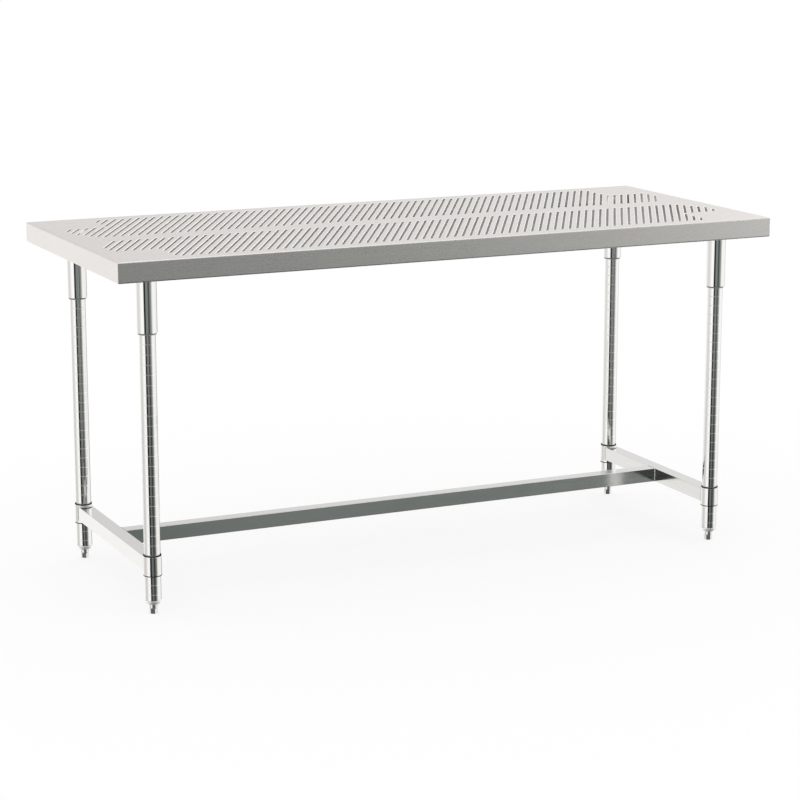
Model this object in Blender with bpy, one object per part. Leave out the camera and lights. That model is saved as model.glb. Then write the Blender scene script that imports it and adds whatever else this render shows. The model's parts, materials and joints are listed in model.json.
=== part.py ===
"""Stainless steel work table: slotted top, grooved posts and an adjustable lower frame.

Metres, +Z up. X runs along the table, the front faces -Y, and the origin is on the
floor under the middle of the table. Every piece is its own object.
"""

from math import cos, pi, radians, sin, tan

import bmesh
import bpy
from mathutils import Matrix, Vector

# Fits and facets shared by all pieces
GAP = 0.0003
CUT_OVERRUN = 0.004
ROUND_SIDES = 12
MERGE_GAP_SHARE = 0.03
SMOOTH_ANGLE = radians(32.0)
ALIGNED_ANGLE = radians(1.0)

# Work top, one folded sheet
TOP_LENGTH = 1.8334
TOP_WIDTH = 0.7600
TOP_HEIGHT = 0.9063
SHEET_THICKNESS = 0.0019
APRON_HEIGHT = 0.0520
RETURN_FLANGE_WIDTH = 0.0127
BEND_RADIUS = 0.0035
BEND_STEPS = 2
LEAST_FOLD_ANGLE = radians(45.0)

# Slots punched in the work top
SLOT_WIDTH = 0.00635
SLOT_PITCH = 0.022225
SLOT_LEAN = radians(30.0)
SLOT_END_STEPS = 2
SHORTEST_SLOT = 0.0165
LEAST_WEB = 0.0100
CENTRE_STRIP_WIDTH = 0.0680
FIELD_SIDE_MARGIN = 0.0410
FIELD_END_MARGIN = 0.0427
FIELD_NOTCH_DEPTH = 0.0500
PAD_MARGIN = 0.0112

# Stiffening channel under the centre strip
CHANNEL_WIDTH = 0.0476
CHANNEL_DEPTH = 0.0495
CHANNEL_WALL = 0.0019
CHANNEL_LIP_WIDTH = 0.0095

# Mounting plates under the four corners
POST_INSET_FROM_ENDS = 0.1039
POST_INSET_FROM_SIDES = 0.1006
PLATE_LENGTH = 0.0960
PLATE_WIDTH = 0.1220
PLATE_THICKNESS = 0.0048
PLATE_CORNER_RADIUS = 0.0080
PLATE_CORNER_STEPS = 2

# Posts
POST_DIAMETER = 0.041275
POST_WALL = 0.00165
GROOVE_PITCH = 0.0254
GROOVE_WIDTH = 0.0018
GROOVE_DEPTH = 0.0005
FIRST_GROOVE_HEIGHT = 0.0158

# Sockets that hold the posts under the top
SOCKET_DIAMETER = 0.0508
SOCKET_WALL = 0.0025
SOCKET_LENGTH = 0.1859
SOCKET_MOUTH_CHAMFER = 0.0010
RING_LIP_HEIGHT = 0.0035
RING_LIP_SETBACK = 0.0022
RING_LIP_CHAMFER = 0.0008
RING_SPIGOT_LENGTH = 0.0300

# Plugs in the lower ends of the posts
PLUG_FLANGE_HEIGHT = 0.0033
PLUG_FLANGE_OVERHANG = 0.0005
PLUG_CONE_HEIGHT = 0.0080
PLUG_NIPPLE_DIAMETER = 0.0205
PLUG_NIPPLE_HEIGHT = 0.0105
PLUG_SPIGOT_LENGTH = 0.0220

# Levelling bolts
BOLT_HEAD_FLATS = 0.0190
BOLT_HEAD_HEIGHT = 0.0137
BOLT_HEAD_CHAMFER = 0.0014
BOLT_SHANK_DIAMETER = 0.0127
BOLT_SHANK_LENGTH = 0.0450

# Lower frame: collars, split sleeves and rails
COLLAR_BASE_HEIGHT = 0.0984
COLLAR_HEIGHT = 0.0508
COLLAR_WALL = 0.0009
COLLAR_RIM_HEIGHT = 0.0020
COLLAR_RIM_PROUD = 0.0003
SLEEVE_WALL = 0.0006
SLEEVE_TAPER = 0.0005
SLEEVE_LIP_HEIGHT = 0.0034
SLEEVE_LIP_CHAMFER = 0.0007
SLEEVE_SLIT = 0.0012
RAIL_SIZE = 0.0381
RAIL_WALL = 0.0015
RAIL_INNER_RADIUS = 0.0003
RAIL_CORNER_STEPS = 2
RAIL_RISE = 0.0093

# Places that follow from the sizes above
SLOT_SLOPE = tan(SLOT_LEAN)
SLOT_RADIUS = SLOT_WIDTH / 2
DECK_UNDERSIDE = TOP_HEIGHT - SHEET_THICKNESS
LEG_X = TOP_LENGTH / 2 - POST_INSET_FROM_ENDS
LEG_Y = TOP_WIDTH / 2 - POST_INSET_FROM_SIDES
PLATE_TOP = DECK_UNDERSIDE - GAP
SOCKET_TOP = PLATE_TOP - PLATE_THICKNESS - GAP
POST_RADIUS = POST_DIAMETER / 2
POST_BORE = POST_RADIUS - POST_WALL
SOCKET_RADIUS = SOCKET_DIAMETER / 2
SOCKET_BORE = SOCKET_RADIUS - SOCKET_WALL
NIPPLE_BASE = BOLT_HEAD_HEIGHT + GAP
PLUG_FLANGE_BASE = NIPPLE_BASE + PLUG_NIPPLE_HEIGHT + PLUG_CONE_HEIGHT
POST_BASE = PLUG_FLANGE_BASE + PLUG_FLANGE_HEIGHT + GAP
SLEEVE_BORE = POST_RADIUS + GAP
SLEEVE_TOP_RADIUS = SLEEVE_BORE + SLEEVE_WALL
SLEEVE_BASE_RADIUS = SLEEVE_TOP_RADIUS + SLEEVE_TAPER
COLLAR_TOP_RADIUS = SLEEVE_TOP_RADIUS + GAP + COLLAR_WALL
COLLAR_BASE_RADIUS = SLEEVE_BASE_RADIUS + GAP + COLLAR_WALL
RAIL_CORNER_RADIUS = RAIL_WALL + RAIL_INNER_RADIUS
RAIL_CENTRE_HEIGHT = COLLAR_BASE_HEIGHT + RAIL_RISE + RAIL_SIZE / 2

CORNER_SIGNS = {
    "front_left": (-1, -1),
    "front_right": (1, -1),
    "rear_left": (-1, 1),
    "rear_right": (1, 1),
}


def clear_scene():
    """Remove every object, so that the model starts from an empty scene."""
    for old_object in list(bpy.data.objects):
        bpy.data.objects.remove(old_object, do_unlink=True)


def metal(name, colour, roughness):
    """Make a bare metal material."""
    return finish(name, colour, roughness, 1.0)


def finish(name, colour, roughness, metallic):
    """Make a Principled material with one colour."""
    material = bpy.data.materials.new(name)
    material.use_nodes = True
    shader = material.node_tree.nodes["Principled BSDF"]
    shader.inputs["Base Color"].default_value = (*colour, 1.0)
    shader.inputs["Roughness"].default_value = roughness
    shader.inputs["Metallic"].default_value = metallic
    return material


def add_object(name, mesh, material, location=(0.0, 0.0, 0.0)):
    """Link a mesh into the scene as one named object."""
    if not mesh.materials:
        mesh.materials.append(material)
    piece = bpy.data.objects.new(name, mesh)
    piece.location = location
    bpy.context.scene.collection.objects.link(piece)
    return piece


def mesh_from(name, shape, smooth=False):
    """Turn a bmesh into a mesh with its faces pointing out."""
    bmesh.ops.recalc_face_normals(shape, faces=shape.faces)
    mesh = bpy.data.meshes.new(name)
    shape.to_mesh(mesh)
    shape.free()
    if smooth:
        mesh.shade_smooth()
        mesh.set_sharp_from_angle(angle=SMOOTH_ANGLE)
    return mesh


def turned_mesh(name, profile):
    """Spin a closed profile of (radius, height) points once round the Z axis."""
    shape = bmesh.new()
    corners = [shape.verts.new((radius, 0.0, height)) for radius, height in profile]
    edges = [shape.edges.new((corner, corners[index - 1])) for index, corner in enumerate(corners)]
    bmesh.ops.spin(
        shape,
        geom=corners + edges,
        cent=(0.0, 0.0, 0.0),
        axis=(0.0, 0.0, 1.0),
        angle=2 * pi,
        steps=ROUND_SIDES,
        use_merge=True,
    )
    bmesh.ops.remove_doubles(shape, verts=shape.verts, dist=GAP * MERGE_GAP_SHARE)
    return mesh_from(name, shape, smooth=True)


def add_modifier_solidify(piece, thickness):
    """Give a folded skin its sheet thickness, inwards."""
    solidify = piece.modifiers.new("sheet", "SOLIDIFY")
    solidify.thickness = thickness
    solidify.offset = -1.0
    solidify.use_even_offset = True
    solidify.use_quality_normals = True


def cut(piece, cutter):
    """Cut a piece with a cutter that is left out of the model."""
    cutter.hide_render = True
    cutter.display_type = "WIRE"
    boolean = piece.modifiers.new("cut", "BOOLEAN")
    boolean.operation = "DIFFERENCE"
    boolean.solver = "EXACT"
    boolean.object = cutter


def joint_empty(name, location):
    """Add an empty on a joint's axis, which carries the pieces that move."""
    empty = bpy.data.objects.new(name, None)
    empty.location = location
    bpy.context.scene.collection.objects.link(empty)
    return empty


def attach(piece, empty):
    """Parent a piece to an empty and keep it where it is."""
    piece.parent = empty
    piece.matrix_parent_inverse = Matrix.Translation(-empty.location)


def band_outline(side):
    """Outline of one band of slots; side is -1 for the front band and 1 for the rear one.

    The points bound the centres of the slots' round ends.
    """
    near_y = CENTRE_STRIP_WIDTH / 2 + SLOT_RADIUS
    far_y = TOP_WIDTH / 2 - FIELD_SIDE_MARGIN - SLOT_RADIUS
    pad_x = LEG_X - PLATE_LENGTH / 2 - PAD_MARGIN - SLOT_RADIUS
    pad_y = LEG_Y - PLATE_WIDTH / 2 - PAD_MARGIN - SLOT_RADIUS
    end_x = TOP_LENGTH / 2 - FIELD_END_MARGIN - SLOT_RADIUS
    notch_x = end_x - FIELD_NOTCH_DEPTH
    notch_y = near_y + FIELD_NOTCH_DEPTH / SLOT_SLOPE
    half = [
        (notch_x, near_y),
        (end_x, notch_y),
        (end_x, pad_y),
        (pad_x, pad_y),
        (pad_x, far_y),
    ]
    mirrored = [(-x, y) for x, y in reversed(half)]
    return [(x, side * y) for x, y in half + mirrored]


def slot_runs(outline):
    """Clip the leaning slot lines to an outline and return their end centres."""
    reach = TOP_LENGTH / 2 + TOP_WIDTH / 2 * SLOT_SLOPE
    count = int(reach / SLOT_PITCH) + 1
    runs = []
    for step in range(-count, count):
        foot_x = (step + 0.5) * SLOT_PITCH
        crossings = []
        for index, (x, y) in enumerate(outline):
            last_x, last_y = outline[index - 1]
            here = x - SLOT_SLOPE * y - foot_x
            before = last_x - SLOT_SLOPE * last_y - foot_x
            if here * before < 0:
                crossings.append(last_y + (y - last_y) * before / (before - here))
        crossings.sort()
        for low_y, high_y in parted_spans(zip(crossings[0::2], crossings[1::2])):
            low = Vector((foot_x + SLOT_SLOPE * low_y, low_y))
            high = Vector((foot_x + SLOT_SLOPE * high_y, high_y))
            runs.append((low, high))
    return runs


def parted_spans(spans):
    """Keep a web of metal between the slots on one line, and leave out very short slots."""
    least_step = (SLOT_WIDTH + LEAST_WEB) * cos(SLOT_LEAN)
    parted = []
    for low_y, high_y in spans:
        if parted:
            low_y = max(low_y, parted[-1][1] + least_step)
        if (high_y - low_y) / cos(SLOT_LEAN) + SLOT_WIDTH > SHORTEST_SLOT:
            parted.append((low_y, high_y))
    return parted


def add_slot_prism(shape, low, high, base_height, top_height):
    """Add one round-ended slot as a closed prism."""
    along = (high - low).normalized()
    across = Vector((along.y, -along.x))
    rim = []
    for centre, outwards in ((high, 1), (low, -1)):
        for step in range(SLOT_END_STEPS + 1):
            angle = pi * step / SLOT_END_STEPS
            offset = across * cos(angle) * outwards + along * sin(angle) * outwards
            point = centre + offset * SLOT_RADIUS
            rim.append(shape.verts.new((point.x, point.y, base_height)))
    floor_face = shape.faces.new(rim)
    raised = bmesh.ops.extrude_face_region(shape, geom=[floor_face])
    top_verts = [item for item in raised["geom"] if isinstance(item, bmesh.types.BMVert)]
    bmesh.ops.translate(shape, verts=top_verts, vec=(0.0, 0.0, top_height - base_height))


def slot_cutter(material):
    """Make one cutter that holds every slot of both bands."""
    shape = bmesh.new()
    for side in (-1, 1):
        for low, high in slot_runs(band_outline(side)):
            add_slot_prism(shape, low, high, DECK_UNDERSIDE - CUT_OVERRUN, TOP_HEIGHT + CUT_OVERRUN)
    return add_object("slot_cutter", mesh_from("slot_cutter", shape), material)


def is_along(edge, axis):
    """Say whether an edge runs along the given axis."""
    direction = (edge.verts[1].co - edge.verts[0].co).normalized()
    return abs(direction[axis]) > cos(ALIGNED_ANGLE)


def work_top(material):
    """Fold the slotted top: deck, four aprons and their return flanges."""
    shape = bmesh.new()
    bmesh.ops.create_cube(shape, size=1.0)
    bmesh.ops.scale(shape, vec=(TOP_LENGTH, TOP_WIDTH, APRON_HEIGHT), verts=shape.verts)
    bmesh.ops.translate(shape, vec=(0.0, 0.0, TOP_HEIGHT - APRON_HEIGHT / 2), verts=shape.verts)
    shape.faces.ensure_lookup_table()
    underside = min(shape.faces, key=lambda face: face.calc_center_median().z)
    bmesh.ops.inset_region(shape, faces=[underside], thickness=RETURN_FLANGE_WIDTH)
    folds = [edge for edge in shape.edges if not edge.is_boundary and is_fold(edge, underside)]
    bmesh.ops.delete(shape, geom=[underside], context="FACES_ONLY")
    bmesh.ops.bevel(
        shape,
        geom=folds,
        offset=BEND_RADIUS,
        segments=BEND_STEPS,
        profile=0.5,
        affect="EDGES",
    )
    top = add_object("work_top", mesh_from("work_top", shape), material)
    add_modifier_solidify(top, SHEET_THICKNESS)
    cut(top, slot_cutter(material))
    return top


def is_fold(edge, underside):
    """Say whether an edge is a level bend of the sheet; the upright corners are welded."""
    inner_rim = set(underside.verts)
    if is_along(edge, 2) or inner_rim & set(edge.verts):
        return False
    return edge.calc_face_angle(0.0) > LEAST_FOLD_ANGLE


def stiffening_channel(material):
    """Bend the channel that runs under the centre strip between the end return flanges."""
    half_width = CHANNEL_WIDTH / 2
    inner_half = half_width - CHANNEL_WALL
    lip_half = half_width - CHANNEL_LIP_WIDTH
    high = DECK_UNDERSIDE - GAP
    low = high - CHANNEL_DEPTH
    right_side = [
        (half_width, high),
        (half_width, low),
        (lip_half, low),
        (lip_half, low + CHANNEL_WALL),
        (inner_half, low + CHANNEL_WALL),
        (inner_half, high - CHANNEL_WALL),
    ]
    section = right_side + [(-y, z) for y, z in reversed(right_side)]
    end_x = TOP_LENGTH / 2 - RETURN_FLANGE_WIDTH - GAP
    shape = bmesh.new()
    rim = [shape.verts.new((-end_x, y, z)) for y, z in section]
    end_face = shape.faces.new(rim)
    moved = bmesh.ops.extrude_face_region(shape, geom=[end_face])
    far_verts = [item for item in moved["geom"] if isinstance(item, bmesh.types.BMVert)]
    bmesh.ops.translate(shape, verts=far_verts, vec=(2 * end_x, 0.0, 0.0))
    return add_object("top_channel", mesh_from("top_channel", shape), material)


def mounting_plate_mesh():
    """Plate under a corner of the top, with rounded corners."""
    shape = bmesh.new()
    bmesh.ops.create_cube(shape, size=1.0)
    bmesh.ops.scale(shape, vec=(PLATE_LENGTH, PLATE_WIDTH, PLATE_THICKNESS), verts=shape.verts)
    bmesh.ops.bevel(
        shape,
        geom=[edge for edge in shape.edges if is_along(edge, 2)],
        offset=PLATE_CORNER_RADIUS,
        segments=PLATE_CORNER_STEPS,
        profile=0.5,
        affect="EDGES",
    )
    return mesh_from("mounting_plate", shape)


def socket_mesh():
    """Tube that stands down from the mounting plate and takes the post."""
    return turned_mesh("post_socket", [
        (SOCKET_RADIUS, SOCKET_LENGTH),
        (SOCKET_RADIUS, SOCKET_MOUTH_CHAMFER),
        (SOCKET_RADIUS - SOCKET_MOUTH_CHAMFER, 0.0),
        (SOCKET_BORE, 0.0),
        (SOCKET_BORE, SOCKET_LENGTH),
    ])


def socket_ring_mesh():
    """Ring that closes the gap between socket and post, with a lip below the socket."""
    bore = POST_RADIUS + GAP
    spigot = SOCKET_BORE - GAP
    lip = SOCKET_RADIUS - RING_LIP_SETBACK
    return turned_mesh("socket_ring", [
        (spigot, RING_LIP_HEIGHT + GAP + RING_SPIGOT_LENGTH),
        (spigot, RING_LIP_HEIGHT),
        (lip, RING_LIP_HEIGHT),
        (lip, RING_LIP_CHAMFER),
        (lip - RING_LIP_CHAMFER, 0.0),
        (bore, 0.0),
        (bore, RING_LIP_HEIGHT + GAP + RING_SPIGOT_LENGTH),
    ])


def post_mesh():
    """Grooved tube from the foot plug up into the socket."""
    length = SOCKET_TOP - POST_BASE
    grooved_end = SOCKET_TOP - SOCKET_LENGTH - GAP - RING_LIP_HEIGHT - POST_BASE
    outside = [(POST_RADIUS, 0.0)]
    centre = FIRST_GROOVE_HEIGHT
    while centre + GROOVE_WIDTH < grooved_end:
        outside.append((POST_RADIUS, centre - GROOVE_WIDTH / 2))
        outside.append((POST_RADIUS - GROOVE_DEPTH, centre))
        outside.append((POST_RADIUS, centre + GROOVE_WIDTH / 2))
        centre += GROOVE_PITCH
    outside.append((POST_RADIUS, length))
    inside = [(POST_BORE, length), (POST_BORE, 0.0)]
    return turned_mesh("post", outside + inside)


def post_plug_mesh():
    """Plug in the lower end of the post: spigot, flange, cone and bored nipple."""
    cone_top = PLUG_NIPPLE_HEIGHT + PLUG_CONE_HEIGHT
    flange_top = cone_top + PLUG_FLANGE_HEIGHT
    bore = BOLT_SHANK_DIAMETER / 2 + GAP
    flange = POST_RADIUS + PLUG_FLANGE_OVERHANG
    nipple = PLUG_NIPPLE_DIAMETER / 2
    spigot = POST_BORE - GAP
    return turned_mesh("post_plug", [
        (spigot, flange_top + PLUG_SPIGOT_LENGTH),
        (spigot, flange_top),
        (flange, flange_top),
        (flange, cone_top),
        (nipple, PLUG_NIPPLE_HEIGHT),
        (nipple, 0.0),
        (bore, 0.0),
        (bore, flange_top + PLUG_SPIGOT_LENGTH),
    ])


def levelling_bolt_mesh():
    """Hexagon-headed bolt whose head is the foot; its shank stands in the plug.

    The rings have two points to each side of the hexagon, so that the round shank
    and the hexagon head share one skin.
    """
    flats = BOLT_HEAD_FLATS / 2
    corner_scale = 1 / cos(pi / 6)
    sole = flats - BOLT_HEAD_CHAMFER
    shank = BOLT_SHANK_DIAMETER / 2
    top = BOLT_HEAD_HEIGHT + BOLT_SHANK_LENGTH
    rings = [
        (sole, corner_scale, 0.0),
        (flats, corner_scale, BOLT_HEAD_CHAMFER),
        (flats, corner_scale, BOLT_HEAD_HEIGHT),
        (shank, 1.0, BOLT_HEAD_HEIGHT),
        (shank, 1.0, top),
    ]
    shape = bmesh.new()
    loops = []
    for radius, corner_factor, height in rings:
        loop = []
        for side in range(ROUND_SIDES):
            angle = 2 * pi * side / ROUND_SIDES
            reach = radius * (corner_factor if side % 2 else 1.0)
            loop.append(shape.verts.new((reach * cos(angle), reach * sin(angle), height)))
        loops.append(loop)
    shape.faces.new(loops[0])
    shape.faces.new(loops[-1])
    for lower, upper in zip(loops, loops[1:]):
        for side in range(ROUND_SIDES):
            shape.faces.new((lower[side - 1], lower[side], upper[side], upper[side - 1]))
    return mesh_from("levelling_bolt", shape, smooth=True)


def collar_mesh():
    """Tapered collar of the lower frame, with a rolled rim at its lower end."""
    rim = COLLAR_BASE_RADIUS + COLLAR_RIM_PROUD
    return turned_mesh("frame_collar", [
        (COLLAR_TOP_RADIUS, COLLAR_HEIGHT),
        (COLLAR_BASE_RADIUS, COLLAR_RIM_HEIGHT),
        (rim, COLLAR_RIM_HEIGHT / 2),
        (COLLAR_BASE_RADIUS, 0.0),
        (COLLAR_BASE_RADIUS - COLLAR_WALL, 0.0),
        (COLLAR_TOP_RADIUS - COLLAR_WALL, COLLAR_HEIGHT),
    ])


def sleeve_half_mesh(side):
    """Half of the tapered sleeve between collar and post; side 1 is the rear half."""
    lip_base = COLLAR_HEIGHT + GAP
    lip_top = lip_base + SLEEVE_LIP_HEIGHT
    whole = turned_mesh("split_sleeve", [
        (COLLAR_TOP_RADIUS - SLEEVE_LIP_CHAMFER, lip_top),
        (COLLAR_TOP_RADIUS, lip_top - SLEEVE_LIP_CHAMFER),
        (COLLAR_TOP_RADIUS, lip_base),
        (SLEEVE_TOP_RADIUS, lip_base),
        (SLEEVE_BASE_RADIUS, 0.0),
        (SLEEVE_BORE, 0.0),
        (SLEEVE_BORE, lip_top),
    ])
    shape = bmesh.new()
    shape.from_mesh(whole)
    bpy.data.meshes.remove(whole)
    bmesh.ops.bisect_plane(
        shape,
        geom=shape.verts[:] + shape.edges[:] + shape.faces[:],
        plane_co=(0.0, side * SLEEVE_SLIT / 2, 0.0),
        plane_no=(0.0, -side, 0.0),
        clear_outer=True,
    )
    open_edges = [edge for edge in shape.edges if edge.is_boundary]
    bmesh.ops.holes_fill(shape, edges=open_edges, sides=0)
    return mesh_from("split_sleeve_half", shape, smooth=True)


def square_tube(name, axis, length, material):
    """Open-ended square tube along X (axis 0) or Y (axis 1)."""
    extents = [RAIL_SIZE, RAIL_SIZE, RAIL_SIZE]
    extents[axis] = length
    shape = bmesh.new()
    bmesh.ops.create_cube(shape, size=1.0)
    bmesh.ops.scale(shape, vec=extents, verts=shape.verts)
    bmesh.ops.bevel(
        shape,
        geom=[edge for edge in shape.edges if is_along(edge, axis)],
        offset=RAIL_CORNER_RADIUS,
        segments=RAIL_CORNER_STEPS,
        profile=0.5,
        affect="EDGES",
    )
    ends = [face for face in shape.faces if abs(face.normal[axis]) > cos(ALIGNED_ANGLE)]
    bmesh.ops.delete(shape, geom=ends, context="FACES_ONLY")
    tube = add_object(name, mesh_from(name, shape), material, (0.0, 0.0, RAIL_CENTRE_HEIGHT))
    add_modifier_solidify(tube, RAIL_WALL)
    return tube


def cope_cutter(name, x, y, material):
    """Cutter with the collar's outer shape, which copes a rail's end to it."""
    slope = (COLLAR_BASE_RADIUS - COLLAR_TOP_RADIUS) / (COLLAR_HEIGHT - COLLAR_RIM_HEIGHT)
    top_radius = COLLAR_TOP_RADIUS + GAP - slope * CUT_OVERRUN
    base_radius = COLLAR_BASE_RADIUS + GAP + slope * (CUT_OVERRUN + COLLAR_RIM_HEIGHT)
    shape = bmesh.new()
    bmesh.ops.create_cone(
        shape,
        cap_ends=True,
        segments=ROUND_SIDES,
        radius1=base_radius,
        radius2=top_radius,
        depth=COLLAR_HEIGHT + 2 * CUT_OVERRUN,
    )
    centre = (x, y, COLLAR_BASE_HEIGHT + COLLAR_HEIGHT / 2)
    return add_object(name, mesh_from(name, shape), material, centre)


def lower_frame(polished, carrier):
    """Two coped end rails and the cross rail that joins their middles."""
    for side_name, side in (("left", -1), ("right", 1)):
        rail = square_tube(f"end_rail_{side_name}", 1, 2 * LEG_Y, polished)
        rail.location.x = side * LEG_X
        for end_name, end in (("front", -1), ("rear", 1)):
            cutter_name = f"cope_{end_name}_{side_name}"
            cut(rail, cope_cutter(cutter_name, side * LEG_X, end * LEG_Y, polished))
        attach(rail, carrier)
    cross_length = 2 * (LEG_X - RAIL_SIZE / 2 - GAP)
    attach(square_tube("cross_rail", 0, cross_length, polished), carrier)


def copies(name, mesh, material, height, carriers=None):
    """Place one copy of a mesh at each leg, and parent it where a carrier is given."""
    for corner, (side_x, side_y) in CORNER_SIGNS.items():
        place = (side_x * LEG_X, side_y * LEG_Y, height)
        piece = add_object(f"{name}_{corner}", mesh, material, place)
        if carriers:
            attach(piece, carriers[corner])


def build_table():
    """Build the table from its materials, its top, its legs and its frame."""
    clear_scene()
    satin = metal("satin_steel", (0.74, 0.72, 0.70), 0.32)
    polished = metal("polished_steel", (0.78, 0.78, 0.77), 0.12)
    plated = metal("plated_steel", (0.70, 0.70, 0.68), 0.20)
    raw_sheet = metal("raw_sheet_steel", (0.62, 0.61, 0.60), 0.40)
    ring_plastic = finish("grey_plastic", (0.22, 0.23, 0.23), 0.40, 0.0)
    sleeve_plastic = finish("black_plastic", (0.02, 0.02, 0.02), 0.45, 0.0)

    work_top(satin)
    stiffening_channel(raw_sheet)
    copies("mounting_plate", mounting_plate_mesh(), raw_sheet, PLATE_TOP - PLATE_THICKNESS / 2)
    socket_base = SOCKET_TOP - SOCKET_LENGTH
    copies("post_socket", socket_mesh(), polished, socket_base)
    ring_base = socket_base - GAP - RING_LIP_HEIGHT
    copies("socket_ring", socket_ring_mesh(), ring_plastic, ring_base)
    copies("post", post_mesh(), polished, POST_BASE)
    copies("post_plug", post_plug_mesh(), plated, NIPPLE_BASE)

    bolt_joints = {}
    for corner, (side_x, side_y) in CORNER_SIGNS.items():
        place = (side_x * LEG_X, side_y * LEG_Y, 0.0)
        bolt_joints[corner] = joint_empty(f"levelling_{corner}", place)
    copies("levelling_bolt", levelling_bolt_mesh(), plated, 0.0, bolt_joints)

    frame_slide = joint_empty("frame_height", (0.0, 0.0, COLLAR_BASE_HEIGHT))
    frame_carriers = {corner: frame_slide for corner in CORNER_SIGNS}
    copies("frame_collar", collar_mesh(), polished, COLLAR_BASE_HEIGHT, frame_carriers)
    for half_name, side in (("front_half", -1), ("rear_half", 1)):
        half = sleeve_half_mesh(side)
        copies(f"sleeve_{half_name}", half, sleeve_plastic, COLLAR_BASE_HEIGHT, frame_carriers)
    lower_frame(polished, frame_slide)


build_table()
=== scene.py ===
"""The look of a stainless steel work table with a slotted top and grooved posts."""

import json
import logging
import math
from dataclasses import dataclass, field, replace
from enum import Enum
from typing import Callable, Iterable, Sequence

import bmesh
import bpy
from mathutils import Matrix, Vector

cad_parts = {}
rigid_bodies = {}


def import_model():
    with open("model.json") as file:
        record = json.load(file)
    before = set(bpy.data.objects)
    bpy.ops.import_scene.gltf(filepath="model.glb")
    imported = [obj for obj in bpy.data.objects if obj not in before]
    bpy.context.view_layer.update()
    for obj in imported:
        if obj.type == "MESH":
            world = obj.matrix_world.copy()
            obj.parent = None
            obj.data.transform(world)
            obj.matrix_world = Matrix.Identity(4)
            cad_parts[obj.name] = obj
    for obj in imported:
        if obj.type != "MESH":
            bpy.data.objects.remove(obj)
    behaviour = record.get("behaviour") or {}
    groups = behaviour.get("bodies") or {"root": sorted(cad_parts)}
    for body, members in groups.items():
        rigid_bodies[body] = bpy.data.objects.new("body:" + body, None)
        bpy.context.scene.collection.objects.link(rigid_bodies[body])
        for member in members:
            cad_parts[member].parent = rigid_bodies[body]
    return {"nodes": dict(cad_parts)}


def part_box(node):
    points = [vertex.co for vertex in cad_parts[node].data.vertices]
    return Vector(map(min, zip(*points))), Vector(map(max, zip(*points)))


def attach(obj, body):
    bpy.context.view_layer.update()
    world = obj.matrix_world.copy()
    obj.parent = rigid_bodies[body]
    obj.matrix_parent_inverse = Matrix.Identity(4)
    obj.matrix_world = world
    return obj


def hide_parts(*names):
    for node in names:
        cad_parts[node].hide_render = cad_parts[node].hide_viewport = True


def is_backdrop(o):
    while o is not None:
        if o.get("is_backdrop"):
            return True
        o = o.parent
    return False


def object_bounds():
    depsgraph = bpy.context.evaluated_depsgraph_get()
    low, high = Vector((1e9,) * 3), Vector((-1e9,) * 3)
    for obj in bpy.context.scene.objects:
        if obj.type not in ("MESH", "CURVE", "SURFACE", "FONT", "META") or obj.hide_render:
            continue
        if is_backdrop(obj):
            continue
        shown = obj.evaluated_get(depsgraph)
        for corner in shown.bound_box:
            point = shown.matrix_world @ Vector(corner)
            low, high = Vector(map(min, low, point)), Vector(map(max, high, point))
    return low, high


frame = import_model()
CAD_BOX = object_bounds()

log = logging.getLogger("work_table")

Socket = bpy.types.NodeSocket
Colour = tuple[float, float, float]

TABLE_BODY = "table"
FRAME_BODY = "lower_frame"
BOLT_BODY = "bolt"
TUBE_SLOT = "polished_tube"
TURNED_SLOT = "turned_steel"
ROUND_STEPS = 64
WELD_GAP = 0.0000004
FACING = 0.9
FOLD_ANGLE = math.radians(45.0)

WHITE = (1.0, 1.0, 1.0, 1.0)
COOL = (0.93, 1.03, 0.99)
WARM = (1.0, 0.99, 0.98)
TINT_START = 0.2
TINT_SPAN = 0.4
NOISE_MIDDLE = (0.3, 0.7)
STREAK_DETAIL = 4.0
CLOUD_SCALE = 7.0
CLOUD_DETAIL = 3.0
BUMP_DEPTH = 0.0001


class Pick(Enum):
    """Which mesh elements a selection works on."""

    VERTS = "VERT"
    EDGES = "EDGE"
    FACES = "FACE"


class Corner(Enum):
    """The four legs, each with its part of a node's name."""

    FRONT_LEFT = "front_left"
    FRONT_RIGHT = "front_right"
    REAR_LEFT = "rear_left"
    REAR_RIGHT = "rear_right"


class Grain(Enum):
    """The direction in which a metal surface was drawn or brushed.

    Each value holds how the pattern is squeezed along X, Y and Z, and a vector that lies
    across the grain on every face of the piece.
    """

    ALONG_X = ((1.0, 60.0, 60.0), (0.0, 1.0, 0.05))
    ALONG_Y = ((60.0, 1.0, 60.0), (1.0, 0.0, 0.05))
    ALONG_Z = ((60.0, 60.0, 1.0), (0.0, 0.0, 1.0))
    AROUND_Z = ((1.0, 1.0, 60.0), (0.0, 0.0, 1.0))

    @property
    def squeeze(self) -> tuple[float, float, float]:
        """Fineness of the pattern along X, Y and Z."""
        return self.value[0]

    @property
    def across(self) -> tuple[float, float, float]:
        """Direction across the grain."""
        return self.value[1]


def centre_of(node: str) -> Vector:
    """Middle of a CAD node's box.

    Args:
        node: The node's name.

    Returns:
        The middle point, in metres.
    """
    low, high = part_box(node)
    return (low + high) / 2


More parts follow.
